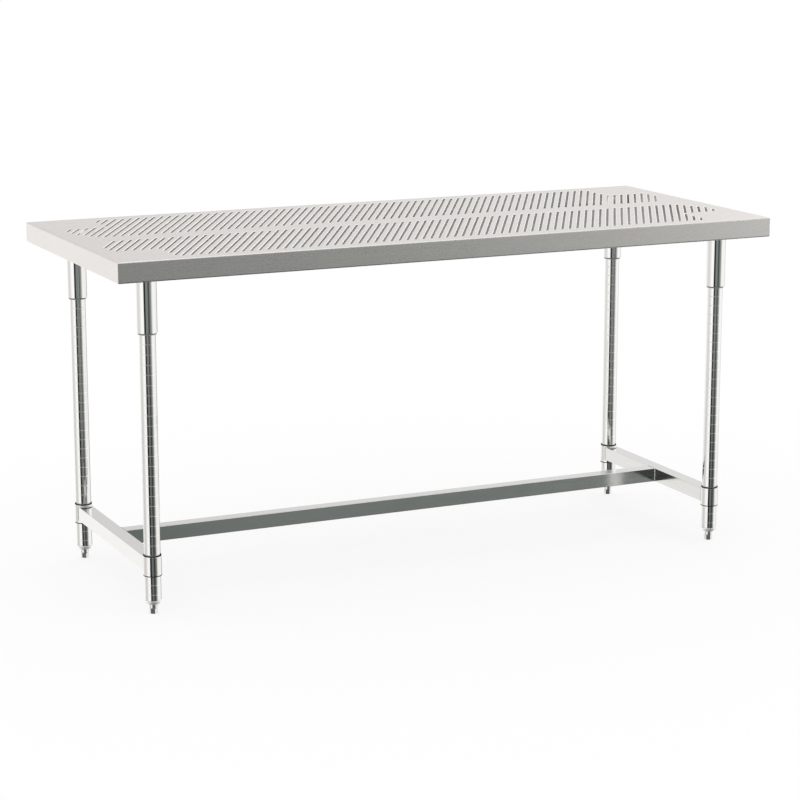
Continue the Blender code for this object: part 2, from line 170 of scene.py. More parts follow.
class Workpiece:
    """One mesh on the bench, shaped with edit-mode tools."""

    def __init__(self, shaped: bpy.types.Object) -> None:
        """Take over the object that a primitive tool has just added."""
        self.shaped = shaped

    @classmethod
    def block(cls, name: str, size: Sequence[float], centre: Sequence[float]) -> "Workpiece":
        """Start from a cube that is stretched to a block.

        Args:
            name: The piece's name.
            size: Lengths along X, Y and Z.
            centre: Middle of the block.

        Returns:
            The new workpiece.
        """
        clear_selection()
        bpy.ops.mesh.primitive_cube_add(size=1.0, location=centre)
        piece = cls.take_active(name)
        piece.edit()
        bpy.ops.mesh.select_all(action="SELECT")
        bpy.ops.transform.resize(value=tuple(size), center_override=tuple(centre))
        piece.leave()
        return piece.settle()

    @classmethod
    def point(cls, name: str, place: Sequence[float]) -> "Workpiece":
        """Start from a plane that is merged to a single vertex, to extrude an outline from.

        Args:
            name: The piece's name.
            place: Place of the vertex.

        Returns:
            The new workpiece.
        """
        clear_selection()
        bpy.ops.mesh.primitive_plane_add(size=0.001, location=place)
        piece = cls.take_active(name).settle()
        piece.edit()
        bpy.ops.mesh.select_all(action="SELECT")
        bpy.ops.mesh.merge(type="CENTER")
        bpy.ops.mesh.select_all(action="SELECT")
        return piece

    @classmethod
    def take_active(cls, name: str) -> "Workpiece":
        """Name the object that was added last and take it over."""
        added = bpy.context.active_object
        added.name = name
        added.data.name = name
        return cls(added)

    def settle(self) -> "Workpiece":
        """Apply the object's place, turn and scale to its mesh."""
        self.activate()
        bpy.ops.object.transform_apply(location=True, rotation=True, scale=True)
        return self

    def activate(self) -> None:
        """Select this object alone and make it active."""
        clear_selection()
        self.shaped.select_set(True)
        bpy.context.view_layer.objects.active = self.shaped

    def edit(self, kind: Pick = Pick.VERTS) -> None:
        """Go into edit mode with nothing selected.

        Args:
            kind: The kind of element to select there.
        """
        self.activate()
        bpy.ops.object.mode_set(mode="EDIT")
        bpy.ops.mesh.select_mode(type=kind.value)
        bpy.ops.mesh.select_all(action="DESELECT")

    def leave(self) -> None:
        """Go back to object mode."""
        bpy.ops.object.mode_set(mode="OBJECT")

    def pick(self, kind: Pick, wanted: Callable[..., bool]) -> None:
        """Select the elements for which a test holds, and no others.

        Args:
            kind: The kind of element.
            wanted: Test of one element.
        """
        bpy.ops.mesh.select_mode(type=kind.value)
        bpy.ops.mesh.select_all(action="DESELECT")
        shape = bmesh.from_edit_mesh(self.shaped.data)
        groups = {Pick.VERTS: shape.verts, Pick.EDGES: shape.edges, Pick.FACES: shape.faces}
        for element in groups[kind]:
            element.select_set(wanted(element))
        shape.select_flush_mode()
        bmesh.update_edit_mesh(self.shaped.data)

    def turn_all(self) -> None:
        """Spin the selected outline once round the Z axis and close the seam."""
        bpy.ops.mesh.select_all(action="SELECT")
        bpy.ops.mesh.spin(
            steps=ROUND_STEPS,
            angle=2 * math.pi,
            center=(0.0, 0.0, 0.0),
            axis=(0.0, 0.0, 1.0),
        )
        self.mend()

    def mend(self) -> None:
        """Merge doubled vertices and point every face outwards."""
        bpy.ops.mesh.select_all(action="SELECT")
        bpy.ops.mesh.remove_doubles(threshold=WELD_GAP)
        bpy.ops.mesh.normals_make_consistent(inside=False)

    def wall(self, thickness: float) -> None:
        """Give an open skin a wall, inwards.

        Args:
            thickness: The wall's thickness.
        """
        sheet = self.shaped.modifiers.new("wall", "SOLIDIFY")
        sheet.thickness = thickness
        sheet.offset = -1.0
        sheet.use_even_offset = True
        sheet.use_quality_normals = True
        self.apply(sheet)

    def combine(self, tool: "Workpiece", operation: str) -> None:
        """Cut or intersect with another workpiece, which is used up.

        Args:
            tool: The cutting shape.
            operation: DIFFERENCE, INTERSECT or UNION.
        """
        boolean = self.shaped.modifiers.new("cut", "BOOLEAN")
        boolean.operation = operation
        boolean.solver = "EXACT"
        boolean.object = tool.shaped
        self.apply(boolean)
        bpy.data.objects.remove(tool.shaped, do_unlink=True)

    def ease_edges(self, width: float, segments: int = 2) -> None:
        """Round the sharp edges a little.

        Args:
            width: Width of the rounding.
            segments: Number of steps in it.
        """
        edge = self.shaped.modifiers.new("eased", "BEVEL")
        edge.width = width
        edge.segments = segments
        edge.limit_method = "ANGLE"
        edge.angle_limit = math.radians(40.0)
        self.apply(edge)

    def apply(self, modifier: bpy.types.Modifier) -> None:
        """Apply one modifier to the mesh."""
        self.activate()
        bpy.ops.object.modifier_apply(modifier=modifier.name)

    def shade(self, angle: float = 35.0) -> None:
        """Shade smooth below an angle, and keep large flat faces flat.

        Args:
            angle: The largest angle to smooth, in degrees.
        """
        self.activate()
        bpy.ops.object.shade_smooth_by_angle(angle=math.radians(angle))
        weighted = self.shaped.modifiers.new("flat faces", "WEIGHTED_NORMAL")
        weighted.keep_sharp = True
        weighted.weight = 100
        self.apply(weighted)

    def copy_to(self, name: str, offset: Sequence[float]) -> "Workpiece":
        """Copy the piece, with a mesh of its own.

        Args:
            name: The copy's name.
            offset: How far the copy lies from this piece.

        Returns:
            The copy.
        """
        twin = self.shaped.copy()
        twin.data = self.shaped.data.copy()
        twin.name = name
        twin.data.name = name
        twin.data.transform(Matrix.Translation(Vector(offset)))
        bpy.context.scene.collection.objects.link(twin)
        return Workpiece(twin)

    def hand_over(self, body: str, slot: str, finish: "Finish", *nodes: str) -> None:
        """Dress the finished piece and fix it to its body.

        Args:
            body: The CAD body that it moves with.
            slot: The record's material slot; not used.
            finish: The finish that it gets.
            nodes: The CAD nodes that it stands for.
        """
        self.shaped.data.materials.clear()
        self.shaped.data.materials.append(finish.material())
        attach(self.shaped, body)
        if nodes:
            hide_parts(*nodes)
        log.info("%s: %d faces, on %s", self.shaped.name, len(self.shaped.data.polygons), body)



def spread_to_corners(
    pattern: Workpiece,
    name: str,
    node: str,
    body: str,
    slot: str,
    finish: "Finish",
    column: str = "post",
) -> None:
    """Copy a round piece from the Z axis to the four corners, and use it up.

    Args:
        pattern: The piece on the Z axis.
        name: Name of the copies, before the corner.
        node: Name of the CAD nodes that they replace, before the corner, or nothing.
        body: The body that they ride, without the corner for the bolts.
        slot: The record's material slot.
        finish: The finish.
        column: Name of the CAD nodes that they stand round, before the corner.
    """
    for corner in Corner:
        place = centre_of(f"{column}_{corner.value}")
        twin = pattern.copy_to(f"{name}_{corner.value}", (place.x, place.y, 0.0))
        ridden = f"{body}_{corner.value}" if body == BOLT_BODY else body
        nodes = (f"{node}_{corner.value}",) if node else ()
        twin.hand_over(ridden, slot, finish, *nodes)
    bpy.data.objects.remove(pattern.shaped, do_unlink=True)


def clear_selection() -> None:
    """Select nothing at all."""
    for shown in bpy.context.view_layer.objects:
        shown.select_set(False)


@dataclass(frozen=True)
class Bend:
    """One corner of a turned outline, with the radius that rounds it."""

    radius: float
    height: float
    fillet: float = 0.0


def eased_outline(corners: Sequence[Bend], steps: int = 4) -> list[tuple[float, float]]:
    """Round the corners of a closed outline.

    Args:
        corners: The outline's corners in order.
        steps: Number of steps in each rounding.

    Returns:
        The outline's points as (radius, height).
    """
    outline: list[tuple[float, float]] = []
    count = len(corners)
    for index, corner in enumerate(corners):
        here = Vector((corner.radius, corner.height))
        if corner.fillet <= 0.0:
            outline.append((here.x, here.y))
            continue
        before = corners[index - 1]
        after = corners[(index + 1) % count]
        start = step_towards(here, Vector((before.radius, before.height)), corner.fillet)
        end = step_towards(here, Vector((after.radius, after.height)), corner.fillet)
        for step in range(steps + 1):
            share = step / steps
            point = start.lerp(here, share).lerp(here.lerp(end, share), share)
            outline.append((point.x, point.y))
    return outline


def step_towards(start: Vector, target: Vector, length: float) -> Vector:
    """Walk from one point towards another, at most to just short of half-way.

    Args:
        start: Where the walk starts.
        target: Where it heads.
        length: How far it goes.

    Returns:
        The point reached.
    """
    whole = target - start
    return start + whole * min(length / whole.length, 0.49)


def turned(name: str, corners: Sequence[Bend], steps: int = 4) -> Workpiece:
    """Extrude a closed outline point by point and spin it round the Z axis.

    Args:
        name: The piece's name.
        corners: The outline's corners.
        steps: Number of steps in each rounding.

    Returns:
        The turned piece, on the Z axis.
    """
    outline = eased_outline(corners, steps)
    first_radius, first_height = outline[0]
    piece = Workpiece.point(name, (first_radius, 0.0, first_height))
    for (radius, height), (last_radius, last_height) in zip(outline[1:], outline):
        shift = (radius - last_radius, 0.0, height - last_height)
        bpy.ops.mesh.extrude_vertices_move(TRANSFORM_OT_translate={"value": shift})
    last_radius, last_height = outline[-1]
    ends = (Vector((first_radius, 0.0, first_height)), Vector((last_radius, 0.0, last_height)))
    piece.pick(Pick.VERTS, lambda vert: min((vert.co - end).length for end in ends) < WELD_GAP)
    bpy.ops.mesh.edge_face_add()
    piece.turn_all()
    piece.leave()
    return piece


class NodeBench:
    """Lays out the nodes of one tree."""

    def __init__(self, tree: bpy.types.NodeTree) -> None:
        """Take over a node tree."""
        self.tree = tree

    def add(self, kind: str, **settings: object) -> bpy.types.Node:
        """Add a node and set its properties.

        Args:
            kind: The node's type.
            settings: Its properties by name.

        Returns:
            The new node.
        """
        node = self.tree.nodes.new(kind)
        for key, value in settings.items():
            setattr(node, key, value)
        return node

    def link(self, source: Socket, target: Socket) -> None:
        """Join an output to an input."""
        self.tree.links.new(source, target)

    def supply(self, target: Socket, value: object) -> None:
        """Link an input to an output, or set it.

        Args:
            target: The input.
            value: A socket, a number or a colour.
        """
        if isinstance(value, Socket):
            self.link(value, target)
        else:
            target.default_value = value

    def compute(self, operation: str, *values: object) -> Socket:
        """One step of arithmetic.

        Args:
            operation: The kind of step.
            values: Its one or two values, each a socket or a number.

        Returns:
            The result.
        """
        node = self.add("ShaderNodeMath", operation=operation)
        for target, value in zip(node.inputs, values):
            self.supply(target, value)
        return node.outputs[0]

    def remap(
        self,
        value: Socket,
        source: tuple[float, float],
        target: tuple[float, float] = (0.0, 1.0),
        curve: str = "LINEAR",
    ) -> Socket:
        """Map one range of a value to another.

        Args:
            value: The value.
            source: The range that it comes from.
            target: The range that it goes to.
            curve: LINEAR or SMOOTHSTEP.

        Returns:
            The mapped value.
        """
        node = self.add("ShaderNodeMapRange", interpolation_type=curve)
        limits = zip(("From Min", "From Max", "To Min", "To Max"), (*source, *target))
        for name, limit in limits:
            node.inputs[name].default_value = limit
        self.link(value, node.inputs["Value"])
        return node.outputs["Result"]

    def mix(self, factor: Socket, low: object, high: object) -> Socket:
        """Mix two colours by a factor.

        Args:
            factor: 0 gives the first colour, 1 the second.
            low: The first colour, or a socket that gives it.
            high: The second one.

        Returns:
            The mixed colour.
        """
        node = self.add("ShaderNodeMix", data_type="RGBA")
        self.link(factor, node.inputs[0])
        for target, colour in zip(self.coloured(node.inputs), (low, high)):
            self.supply(target, colour)
        return self.coloured(node.outputs)[0]

    @staticmethod
    def coloured(sockets: Iterable[Socket]) -> list[Socket]:
        """The colour sockets among a node's inputs or outputs."""
        return [socket for socket in sockets if socket.type == "RGBA"]

    def mix_shaders(
        self, factor: Socket, first: bpy.types.Node, second: bpy.types.Node
    ) -> Socket:
        """Mix the results of two shader nodes by a factor."""
        node = self.add("ShaderNodeMixShader")
        self.link(factor, node.inputs["Fac"])
        self.link(first.outputs[0], node.inputs[1])
        self.link(second.outputs[0], node.inputs[2])
        return node.outputs[0]


class MaterialBench(NodeBench):
    """Lays out the nodes of one material."""

    def __init__(self, name: str) -> None:
        """Start a material with one Principled shader.

        Args:
            name: The material's name.
        """
        self.material = bpy.data.materials.new(name)
        self.material.use_nodes = True
        super().__init__(self.material.node_tree)
        self.shader = self.tree.nodes["Principled BSDF"]
        self.place = self.add("ShaderNodeTexCoord").outputs["Object"]

    def feed(self, name: str, value: object) -> None:
        """Give one of the shader's inputs its value.

        Args:
            name: The input's name.
            value: A socket, a number or a colour.
        """
        self.supply(self.shader.inputs[name], value)

    def noise(self, scale: float, detail: float, grain: Grain | None = None) -> Socket:
        """Noise, even or drawn out along a grain.

        Args:
            scale: Size of the pattern; larger is finer.
            detail: Number of finer layers.
            grain: Direction of the grain.

        Returns:
            The noise's factor.
        """
        noise = self.add("ShaderNodeTexNoise")
        noise.inputs["Detail"].default_value = detail
        noise.inputs["Scale"].default_value = scale
        place = self.place
        if grain is not None:
            noise.inputs["Scale"].default_value = 1.0
            mapping = self.add("ShaderNodeMapping")
            mapping.inputs["Scale"].default_value = [scale * share for share in grain.squeeze]
            self.link(place, mapping.inputs["Vector"])
            place = mapping.outputs["Vector"]
        self.link(place, noise.inputs["Vector"])
        return noise.outputs["Fac"]

    def stretch_sheen(self, across: Sequence[float], amount: float) -> None:
        """Draw the reflections out in one direction.

        Args:
            across: The direction.
            amount: From 0 for none to 1.
        """
        vector = self.add("ShaderNodeCombineXYZ")
        for socket, share in zip(vector.inputs, across):
            socket.default_value = share
        self.feed("Tangent", vector.outputs[0])
        self.feed("Anisotropic", amount)

    def bump(self, height: Socket, strength: float) -> None:
        """Raise and sink the surface by a height.

        Args:
            height: The height's pattern.
            strength: Strength of the effect.
        """
        bump = self.add("ShaderNodeBump")
        bump.inputs["Strength"].default_value = strength
        bump.inputs["Distance"].default_value = BUMP_DEPTH
        self.link(height, bump.inputs["Height"])
        self.feed("Normal", bump.outputs["Normal"])


class Finish:
    """A surface finish that makes its material once."""

    made: dict[str, bpy.types.Material] = {}

    def material(self) -> bpy.types.Material:
        """The finish's material, made on first use."""
        key = repr(self)
        if key not in Finish.made:
            Finish.made[key] = self.build()
        return Finish.made[key]

    def build(self) -> bpy.types.Material:
        """Make the material."""
        raise NotImplementedError


@dataclass(frozen=True)
class SteelFinish(Finish):
    """Bare stainless steel with a grain, a cloudy sheen and fine lines.

    Attributes:
        name: The material's name.
        dark: Colour in the darker streaks.
        light: Colour in the lighter streaks.
        smooth: Lowest roughness.
        rough: Highest roughness.
        grain: Direction of the lines.
        lines: Strength of the lines.
        line_scale: Fineness of the lines.
        sheen: How far the reflections are drawn out across the grain.
    """

    name: str
    dark: Colour
    light: Colour
    smooth: float
    rough: float
    grain: Grain
    lines: float
    line_scale: float = 12.0
    sheen: float = 0.0

    def build(self) -> bpy.types.Material:
        """Make the material."""
        bench = MaterialBench(self.name)
        streaks = bench.noise(self.line_scale, STREAK_DETAIL, self.grain)
        tint = bench.mix(
            bench.remap(streaks, NOISE_MIDDLE), (*self.dark, 1.0), (*self.light, 1.0)
        )
        half_span = (self.rough - self.smooth) / 2
        lined = bench.remap(streaks, NOISE_MIDDLE, (self.smooth, self.smooth + half_span))
        cloudy = bench.noise(CLOUD_SCALE, CLOUD_DETAIL)
        patchy = bench.remap(cloudy, NOISE_MIDDLE, (0.0, half_span))
        bench.feed("Metallic", 1.0)
        bench.feed("Base Color", tint)
        bench.feed("Roughness", bench.compute("ADD", lined, patchy))
        bench.bump(streaks, self.lines)
        if self.sheen > 0.0:
            bench.stretch_sheen(self.grain.across, self.sheen)
        return bench.material


@dataclass(frozen=True)
class MouldedFinish(Finish):
    """Moulded plastic with a fine texture.

    Attributes:
        name: The material's name.
        dark: Colour outside the rubbed patches.
        light: Colour on the rubbed patches.
        rough: Roughness of the clean surface.
        gloss: Strength of its reflections.
        pebble_scale: Fineness of the moulded texture.
        rub_scale: Fineness of the rubbed patches.
        pebble_depth: Strength of the moulded texture.
        rough_span: How far the roughness strays down and up from that.
    """

    name: str
    dark: Colour
    light: Colour
    rough: float
    gloss: float = 0.5
    pebble_scale: float = 2600.0
    rub_scale: float = 60.0
    pebble_depth: float = 0.35
    rough_span: tuple[float, float] = (-0.06, 0.08)

    def build(self) -> bpy.types.Material:
        """Make the material."""
        bench = MaterialBench(self.name)
        pebbled = bench.noise(self.pebble_scale, 2.0)
        rubbed = bench.remap(bench.noise(self.rub_scale, CLOUD_DETAIL), NOISE_MIDDLE)
        roughness = tuple(self.rough + stray for stray in self.rough_span)
        bench.feed("Base Color", bench.mix(rubbed, (*self.dark, 1.0), (*self.light, 1.0)))
        bench.feed("Roughness", bench.remap(pebbled, NOISE_MIDDLE, roughness))
        bench.feed("Specular IOR Level", self.gloss)
        bench.bump(pebbled, self.pebble_depth)
        return bench.material


SATIN_SHEET = SteelFinish(
    "satin_sheet", (0.726, 0.706, 0.686), (0.744, 0.724, 0.704), 0.25, 0.30, Grain.ALONG_X,
    lines=0.008, sheen=0.7,
)
# Partly painted light: the sheet's inner side has a rougher finish, and a colour lighter than
# the deck's that lifts the shade seen through the slots.
SHEET_INSIDE_LIT = SteelFinish(
    "sheet_inside_painted_light", (0.76, 0.75, 0.74), (0.82, 0.81, 0.80), 0.48, 0.62, Grain.ALONG_X, lines=0.05
)
# Painted shade: the slots' walls get a dark steel colour that stands in for the shade inside
# the slots.
SLOT_WALL_SHADE = SteelFinish(
    "slot_wall_painted_shade", (0.23, 0.225, 0.22), (0.30, 0.295, 0.29), 0.45, 0.60, Grain.ALONG_Z, lines=0.10
)
# Painted highlight: the slots' flared rims are modelled, and their near-white colour stands in
# for the bright line along each slot's edge.
RIM_HIGHLIGHT = SteelFinish(
    "painted_rim_highlight", (0.93, 0.92, 0.91), (0.98, 0.97, 0.96), 0.10, 0.16, Grain.ALONG_Y, lines=0.01
)
MILL_SHEET = SteelFinish(
    "mill_sheet", (0.66, 0.65, 0.64), (0.76, 0.75, 0.74), 0.36, 0.52, Grain.ALONG_X, lines=0.10
)
POLISHED_UPRIGHT = SteelFinish(
    "polished_upright", (0.715, 0.715, 0.705), (0.75, 0.75, 0.74), 0.05, 0.12, Grain.ALONG_Z,
    lines=0.015,
)
POLISHED_CROSSWISE = SteelFinish(
    "polished_end_rail", (0.715, 0.715, 0.705), (0.75, 0.75, 0.74), 0.10, 0.19, Grain.ALONG_Y,
    lines=0.02, sheen=0.3,
)
POLISHED_LENGTHWISE = replace(
    POLISHED_CROSSWISE, name="polished_cross_rail", grain=Grain.ALONG_X
)
TURNED_FOOT = SteelFinish(
    "turned_foot", (0.62, 0.62, 0.61), (0.72, 0.72, 0.71), 0.16, 0.28, Grain.AROUND_Z,
    lines=0.08, line_scale=40.0,
)
WELD_METAL = SteelFinish(
    "weld_metal", (0.58, 0.56, 0.53), (0.70, 0.69, 0.67), 0.20, 0.36, Grain.AROUND_Z,
    lines=0.10, line_scale=8.0,
)
# Painted reflection: the plug's flange and cone get a near-white steel colour that stands in
# for the white floor mirrored in the cone.
CONE_FLOOR_REFLECTION = SteelFinish(
    "cone_painted_reflection", (0.96, 0.96, 0.95), (1.0, 1.0, 0.99), 0.55, 0.65, Grain.AROUND_Z,
    lines=0.03, line_scale=40.0,
)
BLACK_SLEEVE = MouldedFinish(
    "black_sleeve", (0.006, 0.006, 0.006), (0.014, 0.014, 0.014), 0.50, gloss=0.15
)
GREY_RING = MouldedFinish("grey_ring", (0.15, 0.16, 0.16), (0.22, 0.23, 0.23), 0.38)


@dataclass
class SlotField:
    """Two bands of leaning slots, cut on one continuous pattern."""

    width: float = 0.00635
    pitch: float = 0.022225
    lean: float = math.radians(30.0)
    shortest: float = 0.0165
    strip: float = 0.0680
    side_margin: float = 0.0410
    end_margin: float = 0.0427
    notch_depth: float = 0.0500
    pad_x: float = 0.7536
    pad_y: float = 0.2072
    end_steps: int = 20
    rim: float = 0.0020
    rim_height: float = 0.0009
    rim_steps: int = 3

    def outline(self, length: float, depth: float) -> list[tuple[float, float]]:
        """Outline of the rear band, for the centres of the slots' round ends.

        Args:
            length: Length of the top.
            depth: Width of the top.

        Returns:
            The outline's corners.
        """
        radius = self.width / 2
        near_y = self.strip / 2 + radius
        far_y = depth / 2 - self.side_margin - radius
        end_x = length / 2 - self.end_margin - radius
        notch_y = near_y + self.notch_depth / math.tan(self.lean)
        half = [
            (end_x - self.notch_depth, near_y),
            (end_x, notch_y),
            (end_x, self.pad_y - radius),
            (self.pad_x - radius, self.pad_y - radius),
            (self.pad_x - radius, far_y),
        ]
        return half + [(-x, y) for x, y in reversed(half)]

    def runs(self, length: float, depth: float) -> Iterable[tuple[Vector, Vector]]:
        """Clip the slot lines to both bands.

        Args:
            length: Length of the top.
            depth: Width of the top.

        Yields:
            The two end centres of each slot.
        """
        slope = math.tan(self.lean)
        count = int((length / 2 + depth / 2 * slope) / self.pitch) + 1
        for side in (-1, 1):
            outline = [(x, side * y) for x, y in self.outline(length, depth)]
            for step in range(-count, count):
                foot_x = (step + 0.5) * self.pitch
                crossings = []
                for (x, y), (last_x, last_y) in zip(outline, outline[-1:] + outline[:-1]):
                    here = x - slope * y - foot_x
                    before = last_x - slope * last_y - foot_x
                    if here * before < 0:
                        crossings.append(last_y + (y - last_y) * before / (before - here))
                crossings.sort()
                for low_y, high_y in zip(crossings[0::2], crossings[1::2]):
                    if (high_y - low_y) / math.cos(self.lean) + self.width > self.shortest:
                        yield (
                            Vector((foot_x + slope * low_y, low_y, 0.0)),
                            Vector((foot_x + slope * high_y, high_y, 0.0)),
                        )

    def punch(self, low: float, deck: float, high: float) -> Workpiece:
        """Round punch that widens towards the deck, so that it leaves a rounded rim.

        Args:
            low: Lower end of the cut.
            deck: Height of the deck's upper face.
            high: Upper end of the cut.

        Returns:
            The punch, on the Z axis.
        """
        radius = self.width / 2
        shank_end = deck - self.rim_height
        clear_selection()
        bpy.ops.mesh.primitive_cylinder_add(
            vertices=self.end_steps,
            radius=radius,
            depth=shank_end - low,
            location=(0.0, 0.0, (shank_end + low) / 2),
        )
        punch = Workpiece.take_active("slot_punch").settle()
        punch.edit(Pick.FACES)
        punch.pick(Pick.FACES, lambda face: face.normal.z > FACING)
        levels = [(radius, shank_end)]
        for step in range(1, self.rim_steps + 1):
            angle = math.pi / 2 * step / self.rim_steps
            reach = radius + self.rim * (1 - math.cos(angle))
            levels.append((reach, shank_end + self.rim_height * math.sin(angle)))
        levels.append((levels[-1][0], high))
        for (reach, height), (last_reach, last_height) in zip(levels[1:], levels):
            rise = (0.0, 0.0, height - last_height)
            bpy.ops.mesh.extrude_region_move(TRANSFORM_OT_translate={"value": rise})
            widening = reach / last_reach
            bpy.ops.transform.resize(
                value=(widening, widening, 1.0), center_override=(0.0, 0.0, height)
            )
        punch.leave()
        return punch

    def cutter(self, length: float, depth: float, low: float, deck: float) -> Workpiece:
        """Make one tool that holds every slot.

        Args:
            length: Length of the top.
            depth: Width of the top.
            low: Lower end of the cut.
            deck: Height of the deck's upper face.

        Returns:
            The cutting tool.
        """
        punch = self.punch(low, deck, deck + self.rim_height)
        punches = []
        for start, end in self.runs(length, depth):
            twin = punch.copy_to("slot_punch_copy", (0.0, 0.0, 0.0)).shaped
            half = (end - start).length / 2
            for vertex in twin.data.vertices:
                vertex.co.y += math.copysign(half, vertex.co.y)
            turn = Matrix.Rotation(-self.lean, 4, "Z")
            twin.data.transform(Matrix.Translation((start + end) / 2) @ turn)
            punches.append(twin)
        bpy.data.objects.remove(punch.shaped, do_unlink=True)
        clear_selection()
        for twin in punches:
            twin.select_set(True)
        bpy.context.view_layer.objects.active = punches[0]
        bpy.ops.object.join()
        log.info("slot field: %d slots", len(punches))
        return Workpiece.take_active("slot_tool")


@dataclass
class WorkTop:
    """The folded sheet with its slotted deck, aprons and return flanges."""

    sheet: float = 0.0019
    flange: float = 0.0127
    bend: float = 0.0035
    bend_steps: int = 6
    corner: float = 0.0008
    overrun: float = 0.004
    level: float = 0.99
    upright: float = 0.2
    slots: SlotField = field(default_factory=SlotField)

    def build(self) -> None:
        """Fold the sheet, cut its slots and dress it."""
        low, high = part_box("work_top")
        size = high - low
        top = Workpiece.block("slotted_top", size, (low + high) / 2)
        top.edit(Pick.FACES)
        top.pick(Pick.FACES, lambda face: face.normal.z < -FACING)
        bpy.ops.mesh.inset(thickness=self.flange, depth=0.0)
        bpy.ops.mesh.delete(type="FACE")
        top.pick(Pick.EDGES, lambda edge: not edge.is_boundary and self.is_bend(edge))
        bpy.ops.mesh.bevel(offset=self.bend, segments=self.bend_steps, affect="EDGES")
        top.pick(Pick.EDGES, self.is_corner)
        bpy.ops.mesh.bevel(offset=self.corner, segments=2, affect="EDGES")
        top.leave()
        top.wall(self.sheet)
        tool = self.slots.cutter(size.x, size.y, high.z - self.sheet - self.overrun, high.z)
        top.combine(tool, "DIFFERENCE")
        top.shade(40.0)
        top.hand_over(TABLE_BODY, "top_sheet", SATIN_SHEET, "work_top")
        self.dress_inside(top, (low + high) / 2)

    def dress_inside(self, top: Workpiece, middle: Vector) -> None:
        """Give the slots' walls a painted shade, their rims a painted highlight and the sheet's
        inner side painted light, each as a material of its own.

        Args:
            top: The finished top.
            middle: Middle of its box.
        """
        sheet = top.shaped.data
        for finish in (SLOT_WALL_SHADE, RIM_HIGHLIGHT, SHEET_INSIDE_LIT):
            sheet.materials.append(finish.material())
        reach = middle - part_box("work_top")[0]
        field_x = reach.x - self.slots.end_margin / 2
        field_y = reach.y - self.slots.side_margin / 2
        for face in sheet.polygons:
            offset = face.center - middle
            in_field = abs(offset.x) < field_x and abs(offset.y) < field_y
            if in_field and abs(face.normal.z) < self.level:
                # Slot walls get the painted shade (index 1), rims the painted highlight (index
                # 2).
                face.material_index = 1 if abs(face.normal.z) < self.upright else 2
            elif face.normal.dot(offset) < 0.0:
                # The sheet's inner side gets its painted light (index 3).
                face.material_index = 3

    @staticmethod
    def is_bend(edge: bmesh.types.BMEdge) -> bool:
        """Whether an edge of the bare shell is one of its level bends."""
        start, end = (vert.co for vert in edge.verts)
        return edge.calc_face_angle(0.0) > FOLD_ANGLE and abs(start.z - end.z) < WELD_GAP

    @staticmethod
    def is_corner(edge: bmesh.types.BMEdge) -> bool:
        """Whether an edge of the folded shell is a welded upright corner."""
        start, end = (vert.co for vert in edge.verts)
        return not edge.is_boundary and (
            edge.calc_face_angle(0.0) > FOLD_ANGLE and abs(start.z - end.z) > WELD_GAP
        )


@dataclass
class HiddenSteel:
    """The channel and the plates under the top, which keep their CAD shapes."""

    channel: str = "top_channel"
    plate: str = "mounting_plate"

    def build(self) -> None:
        """Give each node the mill finish."""
        for node in (self.channel, *(f"{self.plate}_{corner.value}" for corner in Corner)):
            carried = frame["nodes"][node]
            carried.data.materials.clear()
            carried.data.materials.append(MILL_SHEET.material())
            log.info("%s: kept, %s", node, MILL_SHEET.name)


